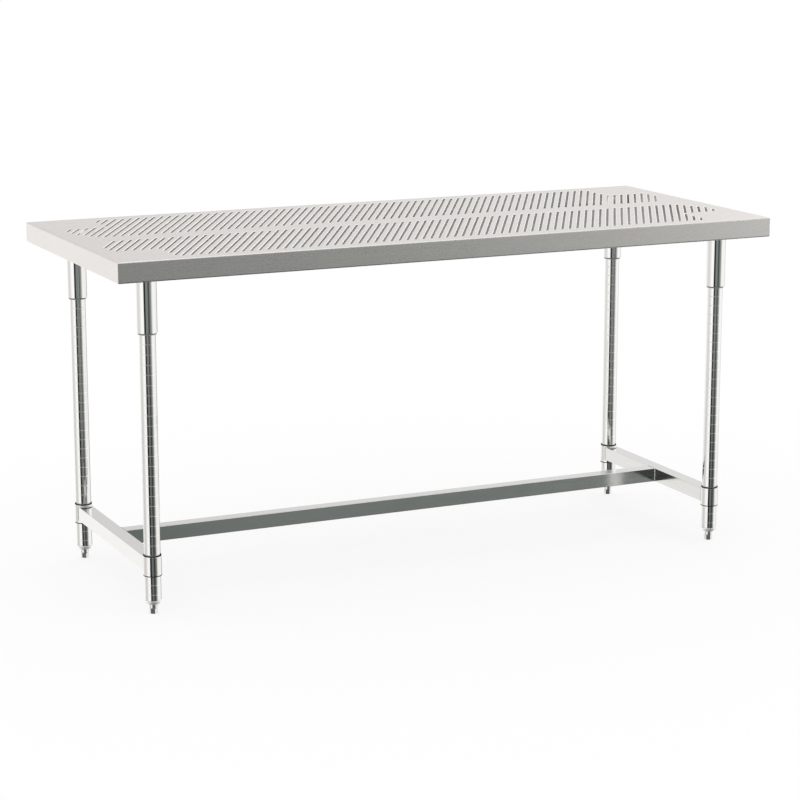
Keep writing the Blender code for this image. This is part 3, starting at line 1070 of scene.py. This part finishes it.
@dataclass
class Leg:
    """Post, socket, ring, plug and levelling bolt, modelled once for the four corners."""

    post_diameter: float = 0.041275
    post_wall: float = 0.00165
    groove_pitch: float = 0.0254
    groove_width: float = 0.0016
    groove_depth: float = 0.0003
    first_groove: float = 0.0519
    socket_wall: float = 0.0025
    ring_lip: float = 0.0035
    clearance: float = 0.0003
    nipple_diameter: float = 0.0205
    nipple_height: float = 0.0105
    cone_height: float = 0.0080
    cone_foot: float = 0.0150
    flange_height: float = 0.0033
    head_height: float = 0.0137
    head_flats: float = 0.0190
    shank_diameter: float = 0.0127
    thread_pitch: float = 0.0018
    thread_depth: float = 0.55
    neck: float = 0.0010
    hexagon: float = math.radians(30.0)
    washer_share: float = 0.97
    cone_share: float = 1.02
    weld_leg: float = 0.0030
    weld_bite: float = 0.0004

    def build(self) -> None:
        """Model each piece on the Z axis and copy it to the four corners."""
        for shape, name, node, body, slot, finish in (
            (self.post, "grooved_post", "post", TABLE_BODY, TUBE_SLOT, POLISHED_UPRIGHT),
            (self.socket, "tube_socket", "post_socket", TABLE_BODY, TUBE_SLOT,
             POLISHED_UPRIGHT),
            (self.ring, "lip_ring", "socket_ring", TABLE_BODY, "grey_ring", GREY_RING),
            (self.plug, "coned_plug", "post_plug", TABLE_BODY, TURNED_SLOT, CONE_FLOOR_REFLECTION),
            (self.nipple, "plug_nipple", "", TABLE_BODY, TURNED_SLOT, TURNED_FOOT),
            (self.bolt, "foot_bolt", "levelling_bolt", BOLT_BODY, TURNED_SLOT, TURNED_FOOT),
            (self.socket_weld, "socket_weld", "", TABLE_BODY, TUBE_SLOT, WELD_METAL),
        ):
            spread_to_corners(shape(), name, node, body, slot, finish)

    def heights(self, node: str) -> tuple[float, float]:
        """Lowest and highest point of a leg's node.

        Args:
            node: The node's name, before the corner.

        Returns:
            The two heights.
        """
        low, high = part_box(f"{node}_{Corner.FRONT_LEFT.value}")
        return low.z, high.z

    def post(self) -> Workpiece:
        """Tube with a rounded V groove at every pitch."""
        low, high = self.heights("post")
        mouth, _ = self.heights("socket_ring")
        outer = self.post_diameter / 2
        bore = outer - self.post_wall
        half = self.groove_width / 2
        corners = [Bend(outer, low, 0.0004)]
        centre = self.first_groove
        while centre + self.groove_width < mouth:
            corners.append(Bend(outer, centre - half, 0.0004))
            corners.append(Bend(outer - self.groove_depth, centre, 0.0006))
            corners.append(Bend(outer, centre + half, 0.0004))
            centre += self.groove_pitch
        corners += [Bend(outer, high), Bend(bore, high), Bend(bore, low, 0.0003)]
        piece = turned("post_pattern", corners, 3)
        piece.shade()
        return piece

    def socket(self) -> Workpiece:
        """Wide tube under the top with an eased mouth."""
        low, high = self.heights("post_socket")
        outer = self.width_of("post_socket") / 2
        bore = outer - self.socket_wall
        piece = turned("socket_pattern", [
            Bend(outer, high),
            Bend(outer, low, 0.0014),
            Bend(bore, low, 0.0005),
            Bend(bore, high),
        ], 6)
        piece.shade()
        return piece

    def width_of(self, node: str) -> float:
        """Diameter of a leg's round node."""
        low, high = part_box(f"{node}_{Corner.FRONT_LEFT.value}")
        return high.x - low.x

    def ring(self) -> Workpiece:
        """Ring between socket and post with a rounded lip."""
        low, high = self.heights("socket_ring")
        lip = self.width_of("socket_ring") / 2
        bore = self.post_diameter / 2 + self.clearance
        spigot = self.width_of("post_socket") / 2 - self.socket_wall - self.clearance
        piece = turned("ring_pattern", [
            Bend(spigot, high, 0.0005),
            Bend(spigot, low + self.ring_lip),
            Bend(lip, low + self.ring_lip, 0.0005),
            Bend(lip, low, 0.0014),
            Bend(bore, low, 0.0004),
            Bend(bore, high),
        ], 5)
        piece.shade()
        return piece

    def plug(self) -> Workpiece:
        """Flange and cone under the post, with a bore for the bolt."""
        low, high = self.heights("post_plug")
        flange = self.width_of("post_plug") / 2
        bore = self.shank_diameter / 2 + self.clearance
        spigot = self.post_diameter / 2 - self.post_wall - self.clearance
        cone_base = low + self.nipple_height
        cone_top = cone_base + self.cone_height
        flange_top = cone_top + self.flange_height
        piece = turned("plug_pattern", [
            Bend(spigot, high, 0.0008),
            Bend(spigot, flange_top),
            Bend(flange, flange_top, 0.0006),
            Bend(flange, cone_top, 0.0008),
            Bend(self.cone_foot, cone_base, 0.0016),
            Bend(bore, cone_base, 0.0003),
            Bend(bore, high, 0.0005),
        ], 5)
        piece.shade()
        return piece

    def nipple(self) -> Workpiece:
        """Round nipple between the cone and the bolt's head."""
        low, _ = self.heights("post_plug")
        outer = self.nipple_diameter / 2
        bore = self.shank_diameter / 2 + self.clearance
        piece = turned("nipple_pattern", [
            Bend(outer, low + self.nipple_height, 0.0003),
            Bend(outer, low, 0.0008),
            Bend(bore, low, 0.0005),
            Bend(bore, low + self.nipple_height, 0.0003),
        ], 5)
        piece.shade()
        return piece

    def bolt(self) -> Workpiece:
        """Hexagon head with turned-down corners on a threaded shank."""
        _, top = self.heights("levelling_bolt")
        head = self.hexagon_head()
        shank = self.threaded_shank(top)
        clear_selection()
        shank.shaped.select_set(True)
        head.shaped.select_set(True)
        bpy.context.view_layer.objects.active = head.shaped
        bpy.ops.object.join()
        head.shade(32.0)
        return head

    def hexagon_head(self) -> Workpiece:
        """Hexagon prism, cut by a cone at both ends."""
        across_corners = self.head_flats / math.cos(self.hexagon)
        clear_selection()
        bpy.ops.mesh.primitive_cylinder_add(
            vertices=6,
            radius=across_corners / 2,
            depth=self.head_height,
            location=(0.0, 0.0, self.head_height / 2),
        )
        head = Workpiece.take_active("bolt_pattern").settle()
        reach = across_corners / 2 * self.cone_share
        washer = self.head_flats / 2 * self.washer_share
        rise = (reach - washer) * math.tan(self.hexagon)
        envelope = turned("head_envelope", [
            Bend(0.0, 0.0),
            Bend(washer, 0.0),
            Bend(reach, rise),
            Bend(reach, self.head_height - rise),
            Bend(washer, self.head_height),
            Bend(0.0, self.head_height),
        ])
        head.combine(envelope, "INTERSECT")
        head.ease_edges(0.00025)
        return head

    def threaded_shank(self, top: float) -> Workpiece:
        """Shank with a plain neck, thread crests and a chamfered end.

        Args:
            top: Height of the shank's upper end.

        Returns:
            The shank.
        """
        crest = self.shank_diameter / 2
        root = crest - self.thread_pitch * self.thread_depth
        base = self.head_height
        corners = [Bend(0.0, base - self.neck), Bend(root, base - self.neck)]
        height = base + self.thread_pitch
        while height + self.thread_pitch < top:
            corners.append(Bend(root, height - self.thread_pitch / 2, 0.0002))
            corners.append(Bend(crest, height, 0.0002))
            height += self.thread_pitch
        corners += [Bend(root, top - self.thread_pitch), Bend(root, top), Bend(0.0, top)]
        return turned("shank_pattern", corners, 2)

    def socket_weld(self) -> Workpiece:
        """Bead of weld between socket and mounting plate."""
        _, high = self.heights("post_socket")
        outer = self.width_of("post_socket") / 2
        piece = turned("weld_pattern", [
            Bend(outer - self.weld_bite, high),
            Bend(outer - self.weld_bite, high - self.weld_leg, 0.0006),
            Bend(outer + self.weld_leg, high, 0.0006),
        ], 4)
        piece.shade(50.0)
        return piece


@dataclass
class LowerFrame:
    """Collars, split sleeves, rails and their welds."""

    rail_size: float = 0.0381
    rail_wall: float = 0.0015
    rail_corner: float = 0.0011
    corner_steps: int = 4
    collar_wall: float = 0.0009
    clearance: float = 0.0003
    sleeve_wall: float = 0.0006
    sleeve_taper: float = 0.0005
    slit: float = 0.0012
    lower_lip: float = 0.0019
    rim_proud: float = 0.0003
    post_radius: float = 0.041275 / 2
    bead: float = 0.0013
    bead_ripple: float = 0.88
    cope_overrun: float = 0.004

    def build(self) -> None:
        """Model the frame's pieces and place them."""
        self.collars()
        self.sleeves()
        self.end_rails()
        self.cross_rail()

    @property
    def sleeve_bore(self) -> float:
        """Inner radius of the split sleeves."""
        return self.post_radius + self.clearance

    @property
    def collar_top(self) -> float:
        """Outer radius of the collar's upper end."""
        return self.sleeve_bore + self.sleeve_wall + self.clearance + self.collar_wall

    @property
    def collar_base(self) -> float:
        """Outer radius of the collar's lower end, without its rim."""
        return self.collar_top + self.sleeve_taper

    def collar_radius(self, height: float) -> float:
        """Outer radius of the collar at a height.

        Args:
            height: The height above the floor.

        Returns:
            The radius.
        """
        low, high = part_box("frame_collar_front_left")
        share = (high.z - height) / (high.z - low.z)
        return self.collar_top + self.sleeve_taper * share

    def collars(self) -> None:
        """Tapered collars that sit on the sleeves' lower lips."""
        low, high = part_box("frame_collar_front_left")
        mouth = low.z + self.lower_lip + self.clearance
        pattern = turned("collar_pattern", [
            Bend(self.collar_top, high.z, 0.0004),
            Bend(self.collar_base, mouth, 0.0004),
            Bend(self.collar_base - self.collar_wall, mouth, 0.0002),
            Bend(self.collar_top - self.collar_wall, high.z, 0.0003),
        ], 5)
        pattern.shade()
        spread_to_corners(
            pattern, "tapered_collar", "frame_collar", FRAME_BODY, TUBE_SLOT,
            POLISHED_UPRIGHT, "frame_collar",
        )

    def sleeves(self) -> None:
        """Front and rear halves of the tapered sleeves, with a lip above and below."""
        collar_low, collar_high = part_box("frame_collar_front_left")
        _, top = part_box("sleeve_front_half_front_left")
        lip_base = collar_high.z + self.clearance
        lower_top = collar_low.z + self.lower_lip
        rim = self.collar_base + self.rim_proud
        for half_name, side in (("front", -1), ("rear", 1)):
            pattern = turned("sleeve_pattern", [
                Bend(self.collar_top, top.z, 0.0011),
                Bend(self.collar_top, lip_base, 0.0004),
                Bend(self.sleeve_bore + self.sleeve_wall, lip_base),
                Bend(self.sleeve_bore + self.sleeve_wall + self.sleeve_taper, lower_top),
                Bend(rim, lower_top, 0.0004),
                Bend(rim, collar_low.z, 0.0006),
                Bend(self.sleeve_bore, collar_low.z),
                Bend(self.sleeve_bore, top.z, 0.0004),
            ], 5)
            pattern.edit()
            bpy.ops.mesh.select_all(action="SELECT")
            bpy.ops.mesh.bisect(
                plane_co=(0.0, side * self.slit / 2, 0.0),
                plane_no=(0.0, -side, 0.0),
                use_fill=True,
                clear_outer=True,
            )
            pattern.leave()
            pattern.shade()
            spread_to_corners(
                pattern, f"split_sleeve_{half_name}", f"sleeve_{half_name}_half",
                FRAME_BODY, "black_sleeve", BLACK_SLEEVE, "frame_collar",
            )

    def square_tube(self, name: str, axis: int, length: float, centre: Vector) -> Workpiece:
        """Open square tube with rounded corners.

        Args:
            name: The piece's name.
            axis: 0 for a tube along X, 1 along Y.
            length: The tube's length.
            centre: Its middle.

        Returns:
            The tube.
        """
        size = [self.rail_size] * 3
        size[axis] = length
        tube = Workpiece.block(name, size, centre)
        tube.edit(Pick.FACES)
        tube.pick(Pick.FACES, lambda face: abs(face.normal[axis]) > FACING)
        bpy.ops.mesh.delete(type="ONLY_FACE")
        tube.leave()
        tube.wall(self.rail_wall)
        across = [side for side in range(3) if side != axis]

        def is_outer_corner(edge: bmesh.types.BMEdge) -> bool:
            """Whether an edge is one of the four long ones outside."""
            start, end = (vert.co for vert in edge.verts)
            offset = (start + end) / 2 - centre
            outside = min(abs(offset[side]) for side in across) > size[across[0]] / 2 - WELD_GAP
            return outside and abs((end - start).normalized()[axis]) > FACING

        tube.edit(Pick.EDGES)
        tube.pick(Pick.EDGES, is_outer_corner)
        bpy.ops.mesh.bevel(
            offset=self.rail_corner, segments=self.corner_steps, affect="EDGES"
        )
        tube.leave()
        return tube

    def cope_tool(self, place: Vector) -> Workpiece:
        """Cone that copes a rail's end to a collar.

        Args:
            place: Middle of the collar.

        Returns:
            The cutting tool.
        """
        low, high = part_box("frame_collar_front_left")
        overrun = self.cope_overrun
        clear_selection()
        bpy.ops.mesh.primitive_cone_add(
            vertices=ROUND_STEPS * 2,
            radius1=self.collar_radius(low.z - overrun) + self.clearance,
            radius2=self.collar_radius(high.z + overrun) + self.clearance,
            depth=high.z - low.z + 2 * overrun,
            location=(place.x, place.y, (low.z + high.z) / 2),
        )
        return Workpiece.take_active("cope_tool").settle()

    def end_rails(self) -> None:
        """Rails between front and rear collars, coped and welded to them."""
        for side in ("left", "right"):
            node = f"end_rail_{side}"
            low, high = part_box(node)
            middle = (low + high) / 2
            front = centre_of(f"frame_collar_front_{side}")
            rear = centre_of(f"frame_collar_rear_{side}")
            rail = self.square_tube(f"coped_rail_{side}", 1, rear.y - front.y, middle)
            rail.combine(self.cope_tool(front), "DIFFERENCE")
            rail.combine(self.cope_tool(rear), "DIFFERENCE")
            rail.shade(30.0)
            rail.hand_over(FRAME_BODY, TUBE_SLOT, POLISHED_CROSSWISE, node)
            for end, collar, sign in (("front", front, 1), ("rear", rear, -1)):
                loop = [
                    Vector((collar.x + x, collar.y + sign * self.saddle(x, middle.z + z),
                            middle.z + z))
                    for x, z in self.square_loop()
                ]
                self.weld(f"rail_weld_{end}_{side}", loop)

    def saddle(self, x: float, height: float) -> float:
        """How far the collar's skin reaches along Y, beside its middle plane.

        Args:
            x: Distance from that plane.
            height: Height above the floor.

        Returns:
            The reach.
        """
        radius = self.collar_radius(height) + self.clearance / 2
        return math.sqrt(max(radius * radius - x * x, 0.0))

    def square_loop(self, points: int = 176) -> list[tuple[float, float]]:
        """Points round a rail's outside, evenly spaced.

        Args:
            points: How many there are.

        Returns:
            The points across and up, from the rail's middle.
        """
        half = self.rail_size / 2
        flat = half - self.rail_corner
        straight = 2 * flat
        arc = math.pi / 2 * self.rail_corner
        loop = []
        for index in range(points):
            walked = index / points * 4 * (straight + arc)
            quarter, rest = divmod(walked, straight + arc)
            if rest < straight:
                x, z = half, rest - flat
            else:
                angle = (rest - straight) / self.rail_corner
                x = flat + self.rail_corner * math.cos(angle)
                z = flat + self.rail_corner * math.sin(angle)
            turn = quarter * math.pi / 2
            loop.append((
                x * math.cos(turn) - z * math.sin(turn),
                x * math.sin(turn) + z * math.cos(turn),
            ))
        return loop

    def weld(self, name: str, loop: Sequence[Vector]) -> None:
        """Rippled bead of weld along a closed line.

        Args:
            name: The bead's name.
            loop: The line's points.
        """
        clear_selection()
        bpy.ops.curve.primitive_bezier_circle_add(radius=0.01)
        bead = bpy.context.active_object
        bead.name = name
        bead.data.splines.clear()
        line = bead.data.splines.new("POLY")
        line.points.add(len(loop) - 1)
        line.use_cyclic_u = True
        for index, (point, place) in enumerate(zip(line.points, loop)):
            point.co = (*place, 1.0)
            point.radius = 1.0 if index % 2 else self.bead_ripple
        bead.data.dimensions = "3D"
        bead.data.bevel_depth = self.bead
        bead.data.bevel_resolution = 2
        bpy.ops.object.convert(target="MESH")
        piece = Workpiece(bpy.context.active_object).settle()
        piece.edit()
        piece.mend()
        piece.leave()
        piece.shade(60.0)
        piece.hand_over(FRAME_BODY, TUBE_SLOT, WELD_METAL)

    def cross_rail(self) -> None:
        """Rail between the middles of the end rails, welded to both."""
        low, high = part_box("cross_rail")
        middle = (low + high) / 2
        rail = self.square_tube("middle_rail", 0, high.x - low.x, middle)
        rail.shade(30.0)
        rail.hand_over(FRAME_BODY, TUBE_SLOT, POLISHED_LENGTHWISE, "cross_rail")
        for side, end_x in (("left", low.x), ("right", high.x)):
            loop = [Vector((end_x, middle.y + y, middle.z + z)) for y, z in self.square_loop()]
            self.weld(f"middle_weld_{side}", loop)


@dataclass
class Studio:
    """Floor, surrounding light and camera."""

    camera_place: tuple[float, float, float] = (-2.69305, -5.76359, 1.79607)
    heading: float = math.radians(25.0286)
    dip: float = math.radians(12.2485)
    roll: float = math.radians(-0.0105)
    lens: float = 108.194
    sensor: float = 36.0
    floor_size: float = 60.0
    floor_drop: float = 0.0002
    floor_fill: float = 0.75
    wall_lean: float = 0.5
    wall_height: float = math.radians(9.5)
    shade: float = 0.12
    shade_dip: float = math.radians(70.0)

    # Brightness of the mirrored room by bearing in degrees: 0 is the front, 90 the right.
    WALL = (
        (-180.0, 1.25), (-168.0, 1.24), (-161.0, 1.22), (-150.0, 1.10), (-138.0, 0.93),
        (-113.0, 0.93), (-99.0, 1.05), (-90.0, 1.20), (-82.0, 1.32), (-55.0, 1.32),
        (-49.0, 0.03), (-34.0, 0.02), (-29.0, 0.28), (-10.0, 0.30), (-4.0, 0.14), (4.0, 0.09),
        (12.0, 0.11), (16.0, 0.29), (19.0, 0.33), (23.0, 0.285), (30.0, 0.33),
        (32.0, 0.43), (34.0, 0.68), (38.0, 0.82), (43.0, 0.90), (48.0, 1.15), (56.0, 1.25),
        (112.0, 1.22), (124.0, 0.50), (148.0, 0.50), (160.0, 1.20), (180.0, 1.25),
    )
    LOW_SKY = (
        (-180.0, 0.82), (-173.0, 0.90), (-168.0, 0.98), (-155.0, 1.00), (-145.0, 1.05),
        (-90.0, 1.12), (-30.0, 0.80), (0.0, 0.62), (20.0, 0.66), (26.0, 0.85), (31.0, 1.30),
        (36.0, 2.0), (60.0, 2.0), (75.0, 1.20), (90.0, 1.20), (115.0, 2.8), (136.0, 2.8),
        (142.0, 1.70), (147.0, 1.00), (156.0, 0.95), (162.0, 0.89), (166.0, 0.84),
        (180.0, 0.82),
    )
    HIGH_SKY = (
        (-180.0, 0.74), (-173.0, 0.85), (-168.0, 0.88), (-155.0, 0.88), (-145.0, 0.88),
        (-90.0, 1.05), (-60.0, 0.90), (-40.0, 0.35), (50.0, 0.35), (70.0, 1.10),
        (115.0, 1.60), (134.0, 1.60), (142.0, 0.90), (148.0, 0.82), (156.0, 0.80),
        (166.0, 0.75), (180.0, 0.74),
    )
    OVERHEAD = 1.25
    # Elevations at which one layer of the room passes into the next.
    LOWER_EDGE = (math.radians(-13.5), math.radians(-10.5))
    LOW_EDGE = (math.radians(-3.0), math.radians(6.0))
    HIGH_EDGE = (math.radians(9.0), math.radians(18.0))
    OVERHEAD_EDGE = (math.radians(30.0), math.radians(42.0))
    SHADE_EDGE = (0.66, 0.76)
    LOWER_GAMMA = 1.25
    LOWER_GAIN = 0.9

    def build(self) -> None:
        """Set up the room and the camera."""
        self.floor()
        self.surroundings()
        self.camera()
        bpy.context.scene.view_settings.view_transform = "Standard"

    def floor(self) -> None:
        """Plain white floor, which metal doesn't mirror."""
        clear_selection()
        bpy.ops.mesh.primitive_plane_add(
            size=self.floor_size, location=(0.0, 0.0, -self.floor_drop)
        )
        ground = bpy.context.active_object
        ground.name = "studio_floor"
        paint = MaterialBench("studio_floor_paint")
        paint.feed("Base Color", WHITE)
        paint.feed("Roughness", 1.0)
        paint.feed("Specular IOR Level", 0.0)
        self.brighten(paint)
        ground.data.materials.append(paint.material)
        ground.visible_glossy = False
        ground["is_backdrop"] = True

    def brighten(self, paint: MaterialBench) -> None:
        """Fill the floor's shadows for the eye alone, so that they stay faint.

        Args:
            paint: The floor paint's nodes.
        """
        glow = paint.add("ShaderNodeEmission")
        seen = paint.add("ShaderNodeLightPath").outputs["Is Camera Ray"]
        share = paint.compute("MULTIPLY", seen, self.floor_fill)
        filled = paint.mix_shaders(share, paint.shader, glow)
        paint.link(filled, paint.tree.nodes["Material Output"].inputs["Surface"])

    def surroundings(self) -> None:
        """White room for the eye, and a room with a dark front for the metal to mirror."""
        world = bpy.data.worlds.new("studio_room")
        bpy.context.scene.world = world
        world.use_nodes = True
        world.cycles.sampling_method = "NONE"
        world.node_tree.nodes.clear()
        bench = NodeBench(world.node_tree)
        plain = bench.add("ShaderNodeBackground")
        mirror = bench.add("ShaderNodeBackground")
        bench.supply(plain.inputs["Color"], WHITE)
        bench.supply(mirror.inputs["Color"], self.room_shade(bench))
        mirrored = bench.add("ShaderNodeLightPath").outputs["Is Glossy Ray"]
        output = bench.add("ShaderNodeOutputWorld")
        bench.link(bench.mix_shaders(mirrored, plain, mirror), output.inputs["Surface"])

    def room_shade(self, bench: NodeBench) -> Socket:
        """Brightness of the room by direction.

        Args:
            bench: The world's nodes.

        Returns:
            The room's colour.
        """
        split = bench.add("ShaderNodeSeparateXYZ")
        bench.link(bench.add("ShaderNodeTexCoord").outputs["Generated"], split.inputs[0])
        x, y, z = split.outputs
        front = bench.compute("MULTIPLY", y, -1.0)
        bearing = bench.compute("ARCTAN2", x, front)
        rise = bench.compute("ARCSINE", z)
        lean = bench.compute("MULTIPLY", rise, self.wall_lean)
        lean = bench.compute("ADD", lean, self.wall_lean * self.wall_height)
        wall = self.ramp(bench, bench.compute("ADD", bearing, lean), self.WALL)
        room = self.lower_wall(bench, wall)
        for edge, layer in (
            (self.LOWER_EDGE, wall),
            (self.LOW_EDGE, self.ramp(bench, bearing, self.LOW_SKY)),
            (self.HIGH_EDGE, self.ramp(bench, bearing, self.HIGH_SKY)),
            (self.OVERHEAD_EDGE, self.tinted(self.OVERHEAD)),
        ):
            room = bench.mix(bench.remap(rise, edge, curve="SMOOTHSTEP"), room, layer)
        down = bench.compute("MULTIPLY", z, -math.sin(self.shade_dip))
        ahead = bench.compute("MULTIPLY", front, math.cos(self.shade_dip))
        near = bench.compute("ADD", down, ahead)
        near = bench.remap(near, self.SHADE_EDGE, curve="SMOOTHSTEP")
        return bench.mix(near, room, self.tinted(self.shade))

    def lower_wall(self, bench: NodeBench, wall: Socket) -> Socket:
        """The wall's lowest part, with more contrast than the rest.

        Args:
            bench: The world's nodes.
            wall: The wall's colour.

        Returns:
            The lowest part's colour.
        """
        deepened = bench.add("ShaderNodeGamma")
        deepened.inputs["Gamma"].default_value = self.LOWER_GAMMA
        bench.link(wall, deepened.inputs["Color"])
        lower = bench.add("ShaderNodeVectorMath", operation="SCALE")
        lower.inputs["Scale"].default_value = self.LOWER_GAIN
        bench.link(deepened.outputs["Color"], lower.inputs[0])
        return lower.outputs["Vector"]

    @staticmethod
    def tinted(shade: float) -> tuple[float, float, float, float]:
        """Grey of the room: greenish where it is dark and warm where it is bright.

        Args:
            shade: The grey's brightness.

        Returns:
            The colour.
        """
        share = min(max((shade - TINT_START) / TINT_SPAN, 0.0), 1.0)
        colour = Vector(COOL).lerp(Vector(WARM), share) * shade
        return (*colour, 1.0)

    def ramp(
        self, bench: NodeBench, bearing: Socket, stops: Sequence[tuple[float, float]]
    ) -> Socket:
        """Tinted grey ramp round the room.

        Args:
            bench: The world's nodes.
            bearing: The direction, in radians.
            stops: Bearings in degrees and brightnesses; 0 is the front and 90 the right.

        Returns:
            The ramp's colour.
        """
        ramp = bench.add("ShaderNodeValToRGB")
        bench.link(bench.remap(bearing, (-math.pi, math.pi)), ramp.inputs["Fac"])
        elements = ramp.color_ramp.elements
        while len(elements) < len(stops):
            elements.new(0.5)
        for element, (degrees, shade) in zip(elements, stops):
            element.position = (degrees + 180.0) / 360.0
            element.color = self.tinted(shade)
        return ramp.outputs["Color"]

    def camera(self) -> None:
        """Camera at the photograph's place and angle."""
        ahead = Vector((
            math.sin(self.heading) * math.cos(self.dip),
            math.cos(self.heading) * math.cos(self.dip),
            -math.sin(self.dip),
        ))
        level = Vector((math.cos(self.heading), -math.sin(self.heading), 0.0))
        upright = level.cross(ahead)
        right = math.cos(self.roll) * level + math.sin(self.roll) * upright
        up = -math.sin(self.roll) * level + math.cos(self.roll) * upright
        lens = bpy.data.cameras.new("photo_camera")
        lens.sensor_fit = "HORIZONTAL"
        lens.sensor_width = self.sensor
        lens.lens = self.lens
        lens.clip_end = 200.0
        viewer = bpy.data.objects.new("photo_camera", lens)
        bpy.context.scene.collection.objects.link(viewer)
        turn = Matrix((right, up, -ahead)).transposed().to_4x4()
        viewer.matrix_world = Matrix.Translation(Vector(self.camera_place)) @ turn
        bpy.context.scene.camera = viewer


def write_sizes() -> None:
    """Set the CAD box and the dressed model's box side by side as plain lists."""
    boxes = {"cad": CAD_BOX, "visual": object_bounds()}
    plain = {name: [list(corner) for corner in box] for name, box in boxes.items()}


def main() -> None:
    """Build the table's looks and the studio around it."""
    logging.basicConfig(level=logging.INFO, format="%(message)s")
    Studio().build()
    WorkTop().build()
    HiddenSteel().build()
    Leg().build()
    LowerFrame().build()
    write_sizes()


if __name__ == "__main__":
    main()
